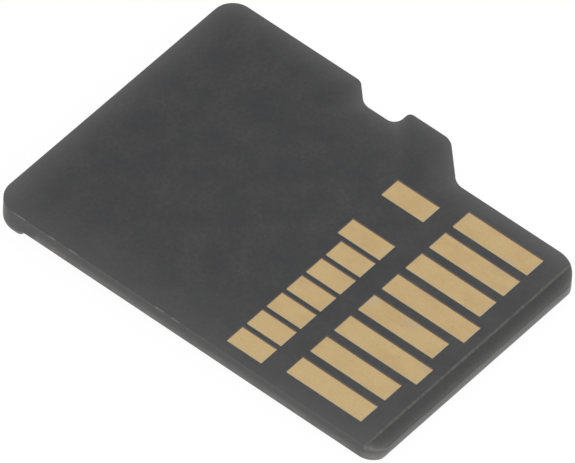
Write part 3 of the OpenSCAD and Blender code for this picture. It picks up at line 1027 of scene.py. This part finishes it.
def floor_material(stage):
    """White to the camera and in gloss, with a little of the card's shadow left in."""
    material = bpy.data.materials.new("floor_white")
    material.use_nodes = True
    tree = material.node_tree
    tree.nodes.clear()
    rays = node(tree, "LightPath").outputs
    mirrored = maths(tree, "MAXIMUM", rays["Is Glossy Ray"], rays["Is Transmission Ray"])
    seen = maths(tree, "MAXIMUM", rays["Is Camera Ray"], mirrored)
    share = product(tree, seen, 1 - stage.shadow_share)
    paint = node(tree, "BsdfDiffuse", {"Color": WHITE}).outputs[0]
    white = node(tree, "Emission").outputs[0]
    upper = node(tree, "MixShader", {0: share, 1: paint, 2: white}).outputs[0]
    # From below the floor is clear.
    below = node(tree, "NewGeometry").outputs["Backfacing"]
    clear = node(tree, "BsdfTransparent").outputs[0]
    both = node(tree, "MixShader", {0: below, 1: upper, 2: clear}).outputs[0]
    node(tree, "OutputMaterial", {"Surface": both})
    return material


class MEMORYCARD_OT_stage(bpy.types.Operator):
    """Lay the floor, set the light and place the camera"""

    bl_idname = "memorycard.stage"
    bl_label = "Set Stage"

    def execute(self, context):
        scene = context.scene
        stage, edges = scene.card_stage, scene.card_edges
        deselect()
        # The card stays level, so the floor leans to touch its lip and its nose.
        low, high = cad_box("moulded_body")
        rest_back = Vector((0, high.y - (edges.lip_w - edges.lip_slope_l) / MM, low.z))
        rest_front = Vector((0, low.y + edges.nose_r / MM, underside(edges)))
        tilt = math.atan2(rest_back.z - rest_front.z, rest_back.y - rest_front.y)
        bpy.ops.mesh.primitive_plane_add(
            size=stage.floor_w, location=rest_back * MM, rotation=(tilt, 0, 0))
        floor = context.object
        floor.name = "floor"
        bpy.ops.object.transform_apply(location=True, rotation=True)
        floor.data.materials.append(floor_material(stage))
        world = bpy.data.worlds.new("soft_white")
        world.use_nodes = True
        world.node_tree.nodes["Background"].inputs["Color"].default_value = WHITE
        scene.world = world
        scene.view_settings.view_transform = "Standard"
        bpy.ops.object.light_add(type="AREA", location=(0, -stage.lamp_away, stage.lamp_up))
        lamp = context.object
        lamp.rotation_mode = "QUATERNION"
        lamp.rotation_quaternion = lamp.location.to_track_quat("Z", "Y")
        lamp.data.size = stage.lamp_w
        lamp.data.energy = stage.lamp_power
        lamp.visible_glossy = False
        back = Vector((math.sin(stage.azimuth) * math.cos(stage.elevation),
                       -math.cos(stage.azimuth) * math.cos(stage.elevation),
                       math.sin(stage.elevation)))
        bpy.ops.object.camera_add(location=Vector(stage.aim) + back * stage.distance)
        camera = context.object
        camera.rotation_mode = "QUATERNION"
        camera.rotation_quaternion = (-back).to_track_quat("-Z", "Y") @ Quaternion(UP, stage.roll)
        camera.data.lens = stage.lens
        camera.data.sensor_width = SENSOR_W
        camera.data.clip_end = CAMERA_REACH
        scene.camera = camera
        return {"FINISHED"}


class MEMORYCARD_OT_mould(bpy.types.Operator):
    """Model the moulded body with its rounds, nose and grip lip"""

    bl_idname = "memorycard.mould"
    bl_label = "Moulded Body"

    def execute(self, context):
        scene = context.scene
        body = make_mould(scene.card_outline, scene.card_edges)
        material = mould_material(scene.card_edges, scene.card_finish)
        finish_piece(body, material, "mould", "moulded_body")
        return {"FINISHED"}


class MEMORYCARD_OT_laminate(bpy.types.Operator):
    """Model the laminate that carries the contacts"""

    bl_idname = "memorycard.laminate"
    bl_label = "Laminate"

    def execute(self, context):
        scene = context.scene
        board = make_plate("laminate_board", scene.card_outline, scene.card_edges, "laminate")
        material = laminate_material(scene.card_edges, scene.card_finish)
        finish_piece(board, material, "laminate", "laminate")
        return {"FINISHED"}


class MEMORYCARD_OT_mask(bpy.types.Operator):
    """Model the solder mask and its windows"""

    bl_idname = "memorycard.mask"
    bl_label = "Solder Mask"

    def execute(self, context):
        scene = context.scene
        mask = make_mask(scene.card_outline, scene.card_edges)
        material = mask_material(scene.card_edges, scene.card_finish)
        finish_piece(mask, material, "mask", "solder_mask")
        return {"FINISHED"}


class MEMORYCARD_OT_contacts(bpy.types.Operator):
    """Model the sixteen gold-plated contacts"""

    bl_idname = "memorycard.contacts"
    bl_label = "Contacts"

    def execute(self, context):
        scene = context.scene
        gold = gold_material(scene.card_finish)
        for name in CONTACTS:
            contact = make_contact("plated_" + name, name, scene.card_edges)
            finish_piece(contact, gold, "contacts", name)
        return {"FINISHED"}


class MEMORYCARD_OT_inside(bpy.types.Operator):
    """Give the buried dies, capacitors and wires their finishes"""

    bl_idname = "memorycard.inside"
    bl_label = "Buried Parts"

    def execute(self, context):
        finish = context.scene.card_finish
        silicon, film, gold = silicon_material(finish), film_material(finish), wire_material(finish)
        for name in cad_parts:
            if "_die" in name:
                dress_node(name, silicon)
            elif "film" in name:
                dress_node(name, film)
            elif name.startswith("capacitor"):
                dress_node(name, capacitor_material(name, finish))
            elif name.endswith(("_wires", "_fingers")):
                dress_node(name, gold)
        return {"FINISHED"}


class MEMORYCARD_PT_panel(bpy.types.Panel):
    """One button for the stage and for each group of pieces"""

    bl_label = "Memory Card"
    bl_idname = "MEMORYCARD_PT_panel"
    bl_space_type = "VIEW_3D"
    bl_region_type = "UI"
    bl_category = "Memory Card"

    def draw(self, context):
        for operator in OPERATORS:
            self.layout.operator(operator.bl_idname)


GROUPS = {"card_outline": CardOutline, "card_edges": CardEdges,
          "card_finish": CardFinish, "card_stage": CardStage}
OPERATORS = (MEMORYCARD_OT_stage, MEMORYCARD_OT_mould, MEMORYCARD_OT_laminate,
             MEMORYCARD_OT_mask, MEMORYCARD_OT_contacts, MEMORYCARD_OT_inside)
CLASSES = (*GROUPS.values(), *OPERATORS, MEMORYCARD_PT_panel)


def register():
    """Registers the classes and gives every scene their properties."""
    for item in CLASSES:
        bpy.utils.register_class(item)
    for name, group in GROUPS.items():
        setattr(bpy.types.Scene, name, bpy.props.PointerProperty(type=group))


def unregister():
    """Takes the properties and the classes away again."""
    for name in GROUPS:
        delattr(bpy.types.Scene, name)
    for item in reversed(CLASSES):
        bpy.utils.unregister_class(item)


def main():
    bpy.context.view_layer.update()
    register()
    for operator in OPERATORS:
        group, name = operator.bl_idname.split(".")
        getattr(getattr(bpy.ops, group), name)()
    deselect()


if __name__ == "__main__":
    main()
